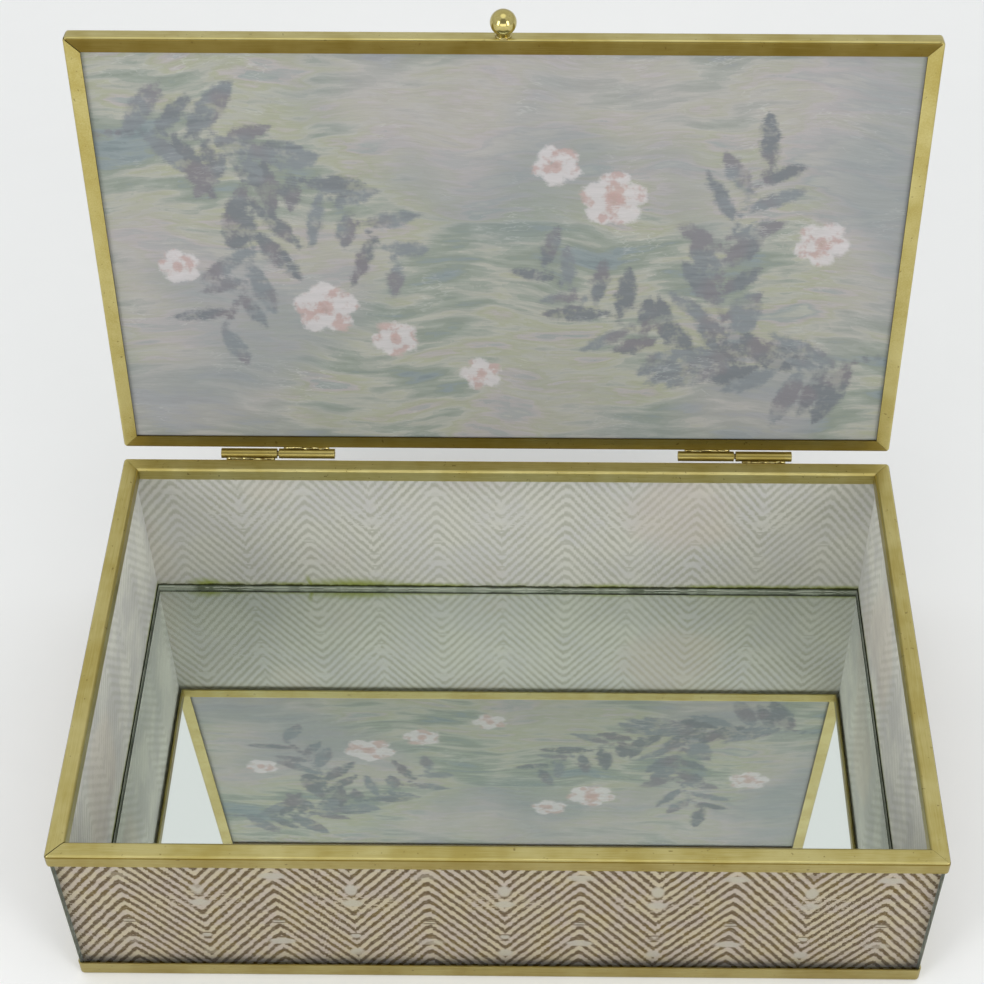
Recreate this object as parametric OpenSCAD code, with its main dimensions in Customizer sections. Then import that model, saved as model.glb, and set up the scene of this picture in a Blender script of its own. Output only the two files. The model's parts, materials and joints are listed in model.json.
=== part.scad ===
// Glass keepsake box. Four printed glass walls stand round a mirror floor, held by brass
// channel at the rim and brass angle at the base. A brass-framed lid of printed glass turns
// on two soldered tube hinges. The lid stands open, as the box is shown.
// +X is to the right, +Y to the hinges, +Z up. The origin is the middle of the base.

/* [Body] */
// Outside length of the rim, left to right
box_length = 260; // [190:1:340]
// Outside depth of the rim, front to back
box_depth = 155; // [110:1:220]
// Height of the body, from the base to the top of the rim
body_height = 67.5; // [40:0.5:120]
// Outside radius of the frame corners, seen from above
corner_radius = 1.2; // [0.5:0.1:2.4]

/* [Brass channel] */
// Width of the rim and lid channel across its web
channel_width = 5.4; // [4.8:0.1:8]
// Depth of the channel along its legs
channel_leg = 4.8; // [3.6:0.1:8]
// Thickness of the channel's brass sheet
channel_brass = 0.6; // [0.4:0.05:0.7]
// Outside radius of the channel's two bends
bend_radius = 0.9; // [0.6:0.05:1.2]

/* [Base angle] */
// Height of the base strip's upright
base_height = 6.1; // [5.5:0.1:12]
// Width of the base strip's flange, under the floor
base_flange = 6; // [4.5:0.1:12]
// Thickness of the base strip's brass sheet
base_brass = 0.5; // [0.4:0.05:0.8]
// Outside radius of the bend in the base strip
base_bend = 0.8; // [0.5:0.05:1.2]

/* [Glass and sheets] */
// Thickness of the wall glass
wall_glass_t = 2.5; // [2:0.1:3]
// Thickness of the mirror floor
mirror_t = 2.5; // [2:0.1:4]
// Thickness of the lid glass
lid_glass_t = 3; // [2:0.1:3.2]
// Thickness of a printed sheet
sheet_t = 0.3; // [0.2:0.05:0.5]
// Thickness of the backing board under the mirror
board_t = 1.1; // [0.8:0.1:2]

/* [Fits] */
// Gap between the rim's outer leg and the wall glass
rim_play = 0.2; // [0.1:0.05:0.3]
// Gap between the base strip's upright and the wall glass
base_play = 0.05; // [0:0.01:0.2]
// Gap between the rim's web and the top of the walls
wall_top_play = 0.3; // [0.1:0.05:0.6]
// Gap round the mirror and its backing board
floor_play = 0.25; // [0.1:0.05:0.5]
// Gap round the felt, inside the base flanges
felt_play = 0.3; // [0.1:0.05:1]
// Gap between the lid channel's web and the edge of the lid glass
lid_edge_play = 0.5; // [0.2:0.05:1]
// Gap between the rim and the lid when the lid is shut
lid_gap = 0.25; // [0.2:0.05:0.6]

/* [Hinges] */
// Distance from each end of the box to the middle of its hinge
hinge_inset = 52.3; // [34:0.1:60]
// Length of one knuckle
knuckle_length = 19; // [8:0.5:30]
// Gap between a hinge's two knuckles
knuckle_gap = 0.6; // [0.3:0.1:1.5]
// Outside diameter of the hinge tube
knuckle_d = 3.5; // [3:0.1:4]
// Diameter of the hinge pin
pin_d = 1.8; // [1.2:0.1:2]
// Gap all round between the pin and its tube
pin_play = 0.05; // [0.02:0.01:0.1]
// How far the pin's ends stand inside the tubes
pin_recess = 0.6; // [0.2:0.1:2]
// Distance of the hinge axis behind the back of the rim
hinge_setback = 2.3; // [2.2:0.05:3.5]
// Height of the hinge axis above the rim
hinge_rise = 0.3; // [0.1:0.05:0.8]
// Length of tube that is bare of solder at each end of a knuckle
solder_margin = 1.4; // [0.5:0.1:3]
// Distance from the hinge axis at which the solder starts, up or down the brass
solder_start = 0.6; // [0.4:0.05:1]
// Distance from the hinge axis at which the solder ends
solder_reach = 2.4; // [1.8:0.1:3.5]
// Angle of the lid from shut, as it stands open against its stop
lid_open = 98.2; // [60:0.1:110]

/* [Knob] */
// Diameter of the knob's ball
knob_d = 8; // [6:0.5:10]
// Diameter of the knob's neck
neck_d = 4; // [3:0.1:5]
// Length of the neck between the lid and the ball
neck_length = 0.4; // [0.2:0.1:3]

/* [Hidden] */
$fn = 64;
brass = [0.72, 0.66, 0.36];
glass = [0.80, 0.88, 0.84];
print_colour = [0.72, 0.68, 0.60];

// Half sizes of the walls' outer faces, inside the rim's outer legs
glass_x = box_length / 2 - channel_brass - rim_play;
glass_y = box_depth / 2 - channel_brass - rim_play;
wall_t = wall_glass_t + sheet_t;
inner_x = glass_x - wall_t;
inner_y = glass_y - wall_t;
wall_bottom = base_brass;
wall_top = body_height - channel_brass - wall_top_play;

// The base strip wraps the foot of the walls
base_length = 2 * (glass_x + base_play + base_brass);
base_depth = 2 * (glass_y + base_play + base_brass);
board_bottom = base_brass;
mirror_bottom = board_bottom + board_t;

// The lid, drawn shut
lid_bottom = body_height + lid_gap;
lid_cavity = channel_width - 2 * channel_brass;
lid_stack = sheet_t + lid_glass_t;
lid_print_bottom = lid_bottom + channel_brass + (lid_cavity - lid_stack) / 2;
lid_edge = channel_brass + lid_edge_play;

// The hinge axis, along X
axis_y = box_depth / 2 + hinge_setback;
axis_z = body_height + hinge_rise;
hinge_x = box_length / 2 - hinge_inset;
knuckle_middle = (knuckle_length + knuckle_gap) / 2;
pin_length = 2 * knuckle_length + knuckle_gap - 2 * pin_recess;
tube_bore_r = pin_d / 2 + pin_play;
cut = 1;

// A rectangle with round corners, centred
module round_rectangle(length, depth, radius) {
    square([length - 2 * radius, depth], center = true);
    square([length, depth - 2 * radius], center = true);
    for (x = [-1, 1], y = [-1, 1])
        translate([x * (length / 2 - radius), y * (depth / 2 - radius)]) circle(r = radius);
}

// Channel in section: the web is along the bottom, from x = 0 to the width, and legs go up
module channel_section() {
    difference() {
        union() {
            translate([0, bend_radius]) square([channel_width, channel_leg - bend_radius]);
            translate([bend_radius, 0]) square([channel_width - 2 * bend_radius, channel_leg]);
            for (x = [bend_radius, channel_width - bend_radius])
                translate([x, bend_radius]) circle(r = bend_radius);
        }
        translate([channel_brass, channel_brass])
            square([channel_width - 2 * channel_brass, channel_leg]);
    }
}

// Angle in section: the upright stands at x = 0 and the flange lies along the bottom
module angle_section() {
    difference() {
        union() {
            translate([0, base_bend]) square([base_flange, base_height - base_bend]);
            translate([base_bend, 0]) square([base_flange - base_bend, base_height]);
            translate([base_bend, base_bend]) circle(r = base_bend);
        }
        translate([base_brass, base_brass]) square([base_flange, base_height]);
    }
}

// Keeps one side's rail of a mitred frame: a trapezoid in plan, with the frame's round corners
module mitred(length, depth, reach) {
    intersection() {
        children();
        translate([0, depth / 2, 0]) linear_extrude(body_height * 2)
            round_rectangle(length, depth, corner_radius);
        linear_extrude(body_height * 2) polygon([
            [-length / 2, 0], [length / 2, 0],
            [length / 2 - reach, reach], [-length / 2 + reach, reach]
        ]);
    }
}

// Carries a section along X, from its own X to Y and its own Y to Z
module along_x(length) {
    translate([-length / 2, 0, 0]) rotate([90, 0, 90]) linear_extrude(length) children();
}

// Direction of a side, its own length, and the length of the side next to it
function side_angle(side) = side == "front" ? 0 : side == "right" ? 90 : side == "rear" ? 180 : 270;
function is_long(side) = side == "front" || side == "rear";
function side_length(side, length, depth) = is_long(side) ? length : depth;
function side_depth(side, length, depth) = is_long(side) ? depth : length;

// Places a rail that is drawn with its outer face on y = 0 at one side of a frame
module at_side(side, length, depth) {
    rotate([0, 0, side_angle(side)])
        translate([0, -side_depth(side, length, depth) / 2, 0]) children();
}

// One rail of the rim, web up
module rim_rail(side) {
    length = side_length(side, box_length, box_depth);
    depth = side_depth(side, box_length, box_depth);
    color(brass) at_side(side, box_length, box_depth)
        mitred(length, depth, channel_width)
        translate([0, channel_width, body_height]) rotate([180, 0, 0])
        along_x(length) channel_section();
}

// One strip of the base, flange down
module base_strip(side) {
    length = side_length(side, base_length, base_depth);
    depth = side_depth(side, base_length, base_depth);
    color(brass) at_side(side, base_length, base_depth)
        mitred(length, depth, base_flange)
        along_x(length) angle_section();
}

// One wall's slab, from one distance inside the glass face to another. The front and rear
// slabs run the whole length, and the side ones stand between them
module wall_slab(side, near, far) {
    half = is_long(side) ? glass_x : inner_y;
    face = is_long(side) ? glass_y : glass_x;
    rotate([0, 0, side_angle(side)]) translate([-half, -face + near, wall_bottom])
        cube([2 * half, far - near, wall_top - wall_bottom]);
}

// One wall's glass
module wall_glass(side) {
    color(glass) wall_slab(side, 0, wall_glass_t);
}

// The printed sheet bonded to the inside of one wall's glass
module wall_print(side) {
    color(print_colour) wall_slab(side, wall_glass_t, wall_t);
}

// A plate that lies inside the walls
module floor_plate(bottom, thickness, colour) {
    length = 2 * (inner_x - floor_play);
    depth = 2 * (inner_y - floor_play);
    color(colour) translate([-length / 2, -depth / 2, bottom]) cube([length, depth, thickness]);
}

module mirror_floor() {
    floor_plate(mirror_bottom, mirror_t, [0.78, 0.82, 0.84]);
}

module backing_board() {
    floor_plate(board_bottom, board_t, [0.45, 0.42, 0.38]);
}

// Felt, flush with the underside of the base flanges
module base_felt() {
    length = base_length - 2 * (base_flange + felt_play);
    depth = base_depth - 2 * (base_flange + felt_play);
    color([0.16, 0.16, 0.17]) translate([-length / 2, -depth / 2, 0])
        cube([length, depth, board_bottom]);
}

// Turns what is drawn shut about the hinge axis, to where the lid stands open
module opened() {
    translate([0, axis_y, axis_z]) rotate([-lid_open, 0, 0]) translate([0, -axis_y, -axis_z])
        children();
}

// One rail of the lid, web outwards
module lid_rail(side) {
    length = side_length(side, box_length, box_depth);
    depth = side_depth(side, box_length, box_depth);
    color(brass) opened() at_side(side, box_length, box_depth)
        translate([0, 0, lid_bottom]) mitred(length, depth, channel_leg)
        along_x(length) mirror([1, -1, 0]) channel_section();
}

// A plate inside the lid's channel
module lid_plate(bottom, thickness, colour) {
    length = box_length - 2 * lid_edge;
    depth = box_depth - 2 * lid_edge;
    color(colour) opened() translate([-length / 2, -depth / 2, bottom])
        cube([length, depth, thickness]);
}

module lid_print() {
    lid_plate(lid_print_bottom, sheet_t, [0.62, 0.66, 0.62]);
}

module lid_glass() {
    lid_plate(lid_print_bottom + sheet_t, lid_glass_t, glass);
}

// A knuckle's tube on the hinge axis, with a bead of solder to the brass in front of it,
// above the axis or below it
module knuckle(middle, up) {
    bead_length = knuckle_length - 2 * solder_margin;
    bead_height = solder_reach - solder_start;
    bead_middle = up * (solder_reach + solder_start) / 2;
    bead_depth = hinge_setback - pin_d / 2;
    color(brass) translate([middle, axis_y, axis_z]) difference() {
        union() {
            rotate([0, 90, 0]) cylinder(d = knuckle_d, h = knuckle_length, center = true);
            translate([0, bead_depth / 2 - hinge_setback, bead_middle])
                cube([bead_length, bead_depth, bead_height], center = true);
        }
        rotate([0, 90, 0]) cylinder(r = tube_bore_r, h = knuckle_length + 2 * cut, center = true);
    }
}

// The outer knuckle of each hinge is soldered to the rim
module body_knuckle(side) {
    knuckle(side * (hinge_x + knuckle_middle), -1);
}

// The inner knuckle of each hinge is soldered to the lid
module lid_knuckle(side) {
    opened() knuckle(side * (hinge_x - knuckle_middle), 1);
}

// The wire through both knuckles of a hinge
module hinge_pin(side) {
    color([0.55, 0.50, 0.30]) translate([side * hinge_x, axis_y, axis_z])
        rotate([0, 90, 0]) cylinder(d = pin_d, h = pin_length, center = true);
}

// A ball on a short neck, at the middle of the lid's front edge
module lid_knob() {
    ball_y = -neck_length - knob_d / 2;
    color(brass) opened() translate([0, -box_depth / 2, lid_bottom + channel_width / 2]) {
        rotate([90, 0, 0]) cylinder(d = neck_d, h = -ball_y);
        translate([0, ball_y, 0]) sphere(d = knob_d);
    }
}

rim_rail("front");  // rim_front
rim_rail("rear");  // rim_rear
rim_rail("left");  // rim_left
rim_rail("right");  // rim_right
base_strip("front");  // base_strip_front
base_strip("rear");  // base_strip_rear
base_strip("left");  // base_strip_left
base_strip("right");  // base_strip_right
wall_glass("front");  // wall_glass_front
wall_glass("rear");  // wall_glass_rear
wall_glass("left");  // wall_glass_left
wall_glass("right");  // wall_glass_right
wall_print("front");  // wall_print_front
wall_print("rear");  // wall_print_rear
wall_print("left");  // wall_print_left
wall_print("right");  // wall_print_right
mirror_floor();
backing_board();
base_felt();
body_knuckle(-1);  // hinge_left_body_knuckle
body_knuckle(1);  // hinge_right_body_knuckle
hinge_pin(-1);  // hinge_left_pin
hinge_pin(1);  // hinge_right_pin
lid_rail("front");  // lid_rail_front
lid_rail("rear");  // lid_rail_rear
lid_rail("left");  // lid_rail_left
lid_rail("right");  // lid_rail_right
lid_glass();
lid_print();
lid_knuckle(-1);  // hinge_left_lid_knuckle
lid_knuckle(1);  // hinge_right_lid_knuckle
lid_knob();
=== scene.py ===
import json
import math
import bmesh
import bpy
import numpy as np
from mathutils import Matrix, Vector


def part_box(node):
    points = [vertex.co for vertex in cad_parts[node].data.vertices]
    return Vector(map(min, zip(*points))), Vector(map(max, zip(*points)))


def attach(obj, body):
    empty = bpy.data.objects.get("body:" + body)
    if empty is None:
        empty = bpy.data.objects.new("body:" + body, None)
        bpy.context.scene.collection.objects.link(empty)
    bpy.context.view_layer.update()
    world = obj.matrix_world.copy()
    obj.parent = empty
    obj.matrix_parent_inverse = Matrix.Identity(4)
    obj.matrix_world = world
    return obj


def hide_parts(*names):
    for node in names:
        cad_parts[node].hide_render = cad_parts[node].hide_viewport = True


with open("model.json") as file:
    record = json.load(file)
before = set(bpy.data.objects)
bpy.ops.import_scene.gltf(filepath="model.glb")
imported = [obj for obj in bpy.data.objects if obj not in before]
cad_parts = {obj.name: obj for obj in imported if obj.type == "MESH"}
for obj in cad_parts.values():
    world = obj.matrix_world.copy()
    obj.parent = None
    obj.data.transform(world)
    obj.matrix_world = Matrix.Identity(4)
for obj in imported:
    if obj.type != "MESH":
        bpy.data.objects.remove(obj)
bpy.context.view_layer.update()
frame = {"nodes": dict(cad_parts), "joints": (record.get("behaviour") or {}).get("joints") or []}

mm = 0.001
sides = {"front": 0, "right": 90, "rear": 180, "left": 270}    # turn of each side, seen from above
railAxis = {"front": "X", "right": "Y", "rear": "X", "left": "Y"}
hinge = frame["joints"][0]
hingeAxis = Vector(hinge["pos_m"])
lidOpen = math.radians(hinge["range_deg"][1])
openLid = (Matrix.Translation(hingeAxis) @ Matrix.Rotation(-lidOpen, 4, "X")
           @ Matrix.Translation(-hingeAxis))
shutLid = openLid.inverted()

photoCamera = {
    "frameWidth": 984,                              # pixels of the picture, both ways
    "focal": 2020.8,                                # in those pixels
    "centre": (530.0, 375.0),                       # where the optical axis meets the picture
    "place": (12.35 * mm, -385.9 * mm, 575.3 * mm),
    "down": 45.19,
    "turn": 0.525,
    "near": 0.01,
    "far": 50,
}


def makeCamera():
    spec = photoCamera
    data = bpy.data.cameras.new("camera")
    width = spec["frameWidth"]
    data.sensor_width = 36
    data.lens = spec["focal"] * data.sensor_width / width
    data.shift_x = (width / 2 - spec["centre"][0]) / width
    data.shift_y = (spec["centre"][1] - width / 2) / width
    data.clip_start = spec["near"]
    data.clip_end = spec["far"]
    camera = bpy.data.objects.new("camera", data)
    bpy.context.collection.objects.link(camera)
    camera.location = spec["place"]
    camera.rotation_euler = (math.radians(90 - spec["down"]), 0, math.radians(spec["turn"]))
    bpy.context.scene.camera = camera
    print("camera: lens", round(data.lens, 2), "shift", round(data.shift_x, 4), round(data.shift_y, 4))


work = {}       # holds the node tree that is being written


def setSocket(socket, value):
    if isinstance(value, bpy.types.NodeSocket):
        work["tree"].links.new(value, socket)
    else:
        socket.default_value = value


def add(kind, inputs=None, **settings):
    node = work["tree"].nodes.new(kind)
    for name, value in settings.items():
        setattr(node, name, value)
    for name, value in (inputs or {}).items():
        setSocket(node.inputs[name], value)
    return node


def calc(operation, *values):
    node = add("ShaderNodeMath", operation=operation)
    for socket, value in zip(node.inputs, values):
        setSocket(socket, value)
    return node.outputs[0]


def plus(first, second):
    return calc("ADD", first, second)


def minus(first, second):
    return calc("SUBTRACT", first, second)


def times(first, second):
    return calc("MULTIPLY", first, second)


def timesPlus(first, second, third):
    return calc("MULTIPLY_ADD", first, second, third)


def most(first, second):
    return calc("MAXIMUM", first, second)


def mix(factor, first, second):
    node = add("ShaderNodeMix", {0: factor}, data_type="RGBA")
    setSocket(node.inputs[6], first)
    setSocket(node.inputs[7], second)
    return node.outputs[2]


def eased(value, low, high, toLow=0.0, toHigh=1.0):
    levels = {"Value": value, "From Min": low, "From Max": high, "To Min": toLow, "To Max": toHigh}
    node = add("ShaderNodeMapRange", levels, interpolation_type="SMOOTHSTEP")
    return node.outputs["Result"]


def mapped(place, **inputs):
    return add("ShaderNodeMapping", {"Vector": place, **inputs}).outputs[0]


def flatPoint(across, up):
    return add("ShaderNodeCombineXYZ", {"X": across, "Y": up}).outputs[0]


def noise(place, scale, detail=2.0, roughness=0.5, stretch=None):
    if stretch:
        place = mapped(place, Scale=stretch)
    inputs = {"Vector": place, "Scale": scale, "Detail": detail, "Roughness": roughness}
    return add("ShaderNodeTexNoise", inputs).outputs["Fac"]


def patches(place, grain, levels):
    # noise eased between two levels, and to two other values if the levels name them
    return eased(noise(place, *grain), *levels)


def relief(height, strength, depth):
    return add("ShaderNodeBump", {"Height": height, "Strength": strength, "Distance": depth}).outputs[0]


def rgb(red, green, blue, alpha=1.0):
    # a screen colour from 0 to 255, as the linear value that the nodes take
    def linear(c):
        c = c / 255
        return c / 12.92 if c <= 0.04045 else ((c + 0.055) / 1.055) ** 2.4
    return (linear(red), linear(green), linear(blue), alpha)


def startTree(owner):
    owner.use_nodes = True
    work["tree"] = owner.node_tree
    owner.node_tree.nodes.clear()
    return add("ShaderNodeTexCoord")


def newMaterial(name):
    material = bpy.data.materials.new(name)
    return material, startTree(material).outputs["Object"]


def dress(material, shader):
    add("ShaderNodeOutputMaterial", {"Surface": shader.outputs[0]})
    return material


def coat(material, colour, roughness, **others):
    # a principled surface, with the plain numbers set on its own sockets
    sockets = {"metal": "Metallic", "specular": "Specular IOR Level", "normal": "Normal",
               "sheen": "Sheen Weight", "sheenRough": "Sheen Roughness"}
    inputs = {"Base Color": colour, "Roughness": roughness}
    for name, value in others.items():
        inputs[sockets[name]] = value
    return dress(material, add("ShaderNodeBsdfPrincipled", inputs))


lightSpec = {
    "zenith": 1.7, "middle": 0.83, "horizon": 0.72,
    "horizonHeights": (0.0, 0.5), "zenithHeights": (0.9, 0.98),
    "skyColour": (0.975, 0.992, 1.0, 1.0),
    "cameraSide": 0.5,                              # how much darker the sky is behind the camera
    "darkWidth": (0.05, 0.3), "darkFrom": (0.3, 0.5), "darkUpTo": (0.86, 0.94, 1.0, 0.0),
    "floorColour": rgb(241, 241, 240), "floorSpeck": rgb(200, 200, 200), "speckShare": 0.05,
    "floorGrain": (60, 3), "floorRough": 0.85, "floorRadius": 4, "floorLevel": -0.1 * mm,
    "lamps": [      # place, width, height and watts
        ("leftSoftbox", (-1.05, -1.0, 0.7), 0.5, 1.0, 6.5),
        ("rightSoftbox", (1.05, -1.0, 0.7), 0.5, 1.0, 6.5),
        ("frontFill", (0.0, -1.7, 0.5), 1.8, 0.7, 5.5),
    ],
    "lampAim": (0, 0, 0.05),
}


def makeSky():
    spec = lightSpec
    world = bpy.data.worlds.new("studio")
    bpy.context.scene.world = world
    split = add("ShaderNodeSeparateXYZ", {"Vector": startTree(world).outputs["Generated"]})
    height = split.outputs["Z"]
    low = eased(height, *spec["horizonHeights"], spec["horizon"], spec["middle"])
    high = eased(height, *spec["zenithHeights"], 0.0, spec["zenith"] - spec["middle"])
    sideways = calc("ABSOLUTE", split.outputs["X"])
    ahead = minus(times(split.outputs["Y"], -1.0), sideways)
    dark = times(eased(ahead, *spec["darkWidth"], 0.0, spec["cameraSide"]),
                 times(eased(height, *spec["darkFrom"]), eased(height, *spec["darkUpTo"])))
    strength = times(plus(low, high), minus(1.0, dark))
    background = add("ShaderNodeBackground", {"Color": spec["skyColour"], "Strength": strength})
    add("ShaderNodeOutputWorld", {"Surface": background.outputs[0]})


def makeStage():
    spec = lightSpec
    makeSky()
    floor = fresh(bpy.ops.mesh.primitive_circle_add, "floor", vertices=96, radius=spec["floorRadius"],
                  fill_type="NGON", location=(0, 0, spec["floorLevel"]))
    material, place = newMaterial("paleFloor")
    grain = times(noise(place, *spec["floorGrain"]), spec["speckShare"])
    colour = mix(grain, spec["floorColour"], spec["floorSpeck"])
    floor.data.materials.append(coat(material, colour, spec["floorRough"], specular=0.1))
    for name, place, width, tall, watts in spec["lamps"]:
        data = bpy.data.lights.new(name, "AREA")
        data.shape = "RECTANGLE"
        data.size = width
        data.size_y = tall
        data.energy = watts
        lamp = bpy.data.objects.new(name, data)
        bpy.context.collection.objects.link(lamp)
        lamp.location = place
        aim = Vector(spec["lampAim"]) - Vector(place)
        lamp.rotation_euler = aim.to_track_quat("-Z", "Y").to_euler()
    settings = bpy.context.scene.view_settings
    settings.view_transform = "Standard"
    settings.look = "None"
    print("stage: floor, sky and", len(spec["lamps"]), "lamps")


def fresh(adder, name, **settings):
    bpy.ops.object.select_all(action="DESELECT")
    adder(**settings)
    piece = bpy.context.object
    piece.name = name
    return piece


def applyPlace():
    bpy.ops.object.transform_apply(location=True, rotation=True, scale=True)


def block(name, low, high):
    low, high = Vector(low), Vector(high)
    piece = fresh(bpy.ops.mesh.primitive_cube_add, name, size=1, location=(low + high) / 2, scale=high - low)
    piece.data.name = name
    applyPlace()
    return piece


def rod(name, low, high, radius, steps):
    # a bar along X between two points
    piece = fresh(bpy.ops.mesh.primitive_cylinder_add, name, vertices=steps, radius=radius,
                  depth=high.x - low.x, location=(low + high) / 2, rotation=(0, math.radians(90), 0))
    applyPlace()
    editing(piece)
    return piece


def editing(piece):
    bpy.ops.object.select_all(action="DESELECT")
    piece.select_set(True)
    bpy.context.view_layer.objects.active = piece
    bpy.ops.object.mode_set(mode="EDIT")
    bpy.ops.mesh.select_mode(type="FACE")


def pickFaces(piece, wanted):
    bpy.ops.mesh.select_mode(type="FACE")
    bpy.ops.mesh.select_all(action="DESELECT")
    mesh = bmesh.from_edit_mesh(piece.data)
    mesh.normal_update()
    for face in mesh.faces:
        face.select_set(bool(wanted(face.calc_center_median(), face.normal)))
    bmesh.update_edit_mesh(piece.data)


def pickEdges(piece, wanted):
    bpy.ops.mesh.select_mode(type="EDGE")
    bpy.ops.mesh.select_all(action="DESELECT")
    mesh = bmesh.from_edit_mesh(piece.data)
    for edge in mesh.edges:
        edge.select_set(bool(wanted(edge.verts[0].co, edge.verts[1].co)))
    bmesh.update_edit_mesh(piece.data)


def same(a, b):
    return abs(a - b) < 1e-6


def cutAway(piece, point, normal):
    bpy.ops.mesh.select_all(action="SELECT")
    bpy.ops.mesh.bisect(plane_co=point, plane_no=normal, clear_outer=True, use_fill=True, threshold=1e-7)


def finishPiece(piece, edgeRound, smooth=40):
    bpy.ops.object.mode_set(mode="OBJECT")
    if edgeRound:
        rounding = piece.modifiers.new("edges", "BEVEL")
        rounding.width = edgeRound
        rounding.segments = 2
        rounding.limit_method = "ANGLE"
        rounding.angle_limit = math.radians(40)
        bpy.ops.object.modifier_apply(modifier="edges")
    bpy.ops.object.shade_smooth_by_angle(angle=math.radians(smooth))
    # flat faces shade flat beside round edges
    piece.modifiers.new("flats", "WEIGHTED_NORMAL").keep_sharp = True
    bpy.ops.object.modifier_apply(modifier="flats")
    return piece


def turnMesh(piece, matrix):
    piece.data.transform(matrix)
    piece.data.update()


def assign(piece, materials, chooser):
    for material in materials:
        piece.data.materials.append(material)
    for face in piece.data.polygons:
        face.material_index = chooser(face)


def boxOf(names, matrix=None):
    # lowest and highest corner of some CAD nodes, turned by the matrix if one is given
    low, high = Vector((9, 9, 9)), Vector((-9, -9, -9))
    for name in names:
        for vertex in frame["nodes"][name].data.vertices:
            place = matrix @ vertex.co if matrix else vertex.co
            low = Vector(map(min, low, place))
            high = Vector(map(max, high, place))
    return low, high


def put(piece, body, slot, *nodes):
    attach(piece, body)
    if nodes:
        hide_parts(*nodes)
    return piece


brassSpec = {
    "light": rgb(196, 185, 126), "deep": rgb(172, 156, 88), "tarnish": rgb(92, 72, 34),
    "rough": (0.26, 0.42), "roughLevels": (0.3, 0.8), "roughStreaks": 0.6, "roughClouds": 0.5,
    "clouds": (55, 3, 0.6), "streaks": (2400, 3, 0.6), "drawn": {"X": (0.04, 1, 1), "Y": (1, 0.04, 1)},
    "cloudTone": 0.75, "streakTone": 0.35, "toneLevels": (0.35, 0.75),
    "spots": (700, 2, 0.5), "spotLevels": (0.68, 0.76, 0.0, 0.55),
    "dents": (130, 2, 0.5), "streakHeight": 0.05, "bump": 0.25, "bumpDepth": 0.25 * mm,
}


def shaded(colour, share):
    # darker brass reflects itself, so it grows warmer too
    return (colour[0] * share, colour[1] * share ** 1.15, colour[2] * share ** 1.6, 1.0)


def brassMaterial(name, along="X", rough=brassSpec["rough"], lift=1.0, shade=1.0):
    spec = brassSpec
    material, place = newMaterial(name)
    clouds = noise(place, *spec["clouds"])
    streaks = noise(place, *spec["streaks"], spec["drawn"][along])
    tone = plus(times(clouds, spec["cloudTone"]), times(streaks, spec["streakTone"]))
    colour = mix(eased(tone, *spec["toneLevels"]), shaded(spec["light"], shade),
                 shaded(spec["deep"], shade))
    worn = patches(place, spec["spots"], spec["spotLevels"])
    colour = mix(worn, colour, spec["tarnish"])
    mixed = plus(times(streaks, spec["roughStreaks"]), times(clouds, spec["roughClouds"]))
    roughness = eased(mixed, *spec["roughLevels"], *rough)
    height = plus(noise(place, *spec["dents"]), times(streaks, spec["streakHeight"]))
    bump = relief(height, spec["bump"] * lift, spec["bumpDepth"])
    return coat(material, colour, roughness, metal=1.0, normal=bump)


railSpec = {
    "brass": 0.6 * mm, "bend": 0.9 * mm, "bendSteps": 6,
    "cornerRound": 1.2 * mm, "cornerSteps": 6,
    "baseBrass": 0.5 * mm, "baseBend": 0.8 * mm,
    "mitreGap": 0.04 * mm, "openMitre": 0.19 * mm, "edgeRound": 0.07 * mm, "lipDepth": 0.2 * mm,
    "openCorners": {("rim", "front", -1), ("rim", "left", 1), ("lid", "front", -1), ("lid", "left", 1)},
    # shares of the brass colour, for painted shade and light: painted shade on the lid's inner legs and lips
    # and on the upright outer faces of rim and base, painted light on the rear rim, and along the rim's bend
    # a painted dark reflection and a painted highlight
    "paintedShadeUnderLid": {"front": 0.36, "rear": 0.6}, "paintedShadeLip": 0.28,
    "leg": 0.74, "rear": 1.08, "rearRough": (0.42, 0.58),
    "bendDarkReflection": 0.36, "bendHighlight": 1.25,
}


def mitreEnds(piece, kind, side, length, outer):
    for end in (1, -1):
        gap = railSpec["openMitre" if (kind, side, end) in railSpec["openCorners"] else "mitreGap"]
        cutAway(piece, (end * (length / 2 - gap), outer, 0), Vector((end, 1, 0)).normalized())


def roundCorners(piece, length, outer):
    pickEdges(piece, lambda a, b: same(a.y, outer) and same(b.y, outer)
              and same(abs(a.x), length / 2) and same(a.x, b.x))
    bpy.ops.mesh.bevel(offset=railSpec["cornerRound"], segments=railSpec["cornerSteps"], affect="EDGES")


def bendEdges(piece, outer, level, radius):
    reach = outer + railSpec["cornerRound"] + 1e-6
    pickEdges(piece, lambda a, b: same(a.z, level) and same(b.z, level) and a.y < reach and b.y < reach)
    bpy.ops.mesh.bevel(offset=radius, segments=railSpec["bendSteps"], affect="EDGES")


def hollow(wall, move):
    bpy.ops.mesh.inset(thickness=wall)
    bpy.ops.mesh.extrude_region_move(TRANSFORM_OT_translate={"value": move})


def railBlock(name, length, depth, low, high, deep):
    # the block that a rail is cut from, along the near edge of the box
    outer = -depth / 2
    piece = block(name, (-length / 2, outer, low), (length / 2, outer + deep, high))
    editing(piece)
    roundCorners(piece, length, outer)
    return piece, outer


def rimRail(side, length, depth, low, high, width):
    # channel with its web on top: hollowed from below and mitred
    spec = railSpec
    piece, outer = railBlock("rim_" + side + "_rail", length, depth, low, high, width)
    pickEdges(piece, lambda a, b: same(a.z, high) and same(b.z, high))
    bpy.ops.mesh.bevel(offset=spec["bend"], segments=spec["bendSteps"], affect="EDGES")
    pickFaces(piece, lambda c, n: n.z < -0.9)
    hollow(spec["brass"], (0, 0, high - low - spec["brass"]))
    mitreEnds(piece, "rim", side, length, outer)
    return finishPiece(piece, spec["edgeRound"])


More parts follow.
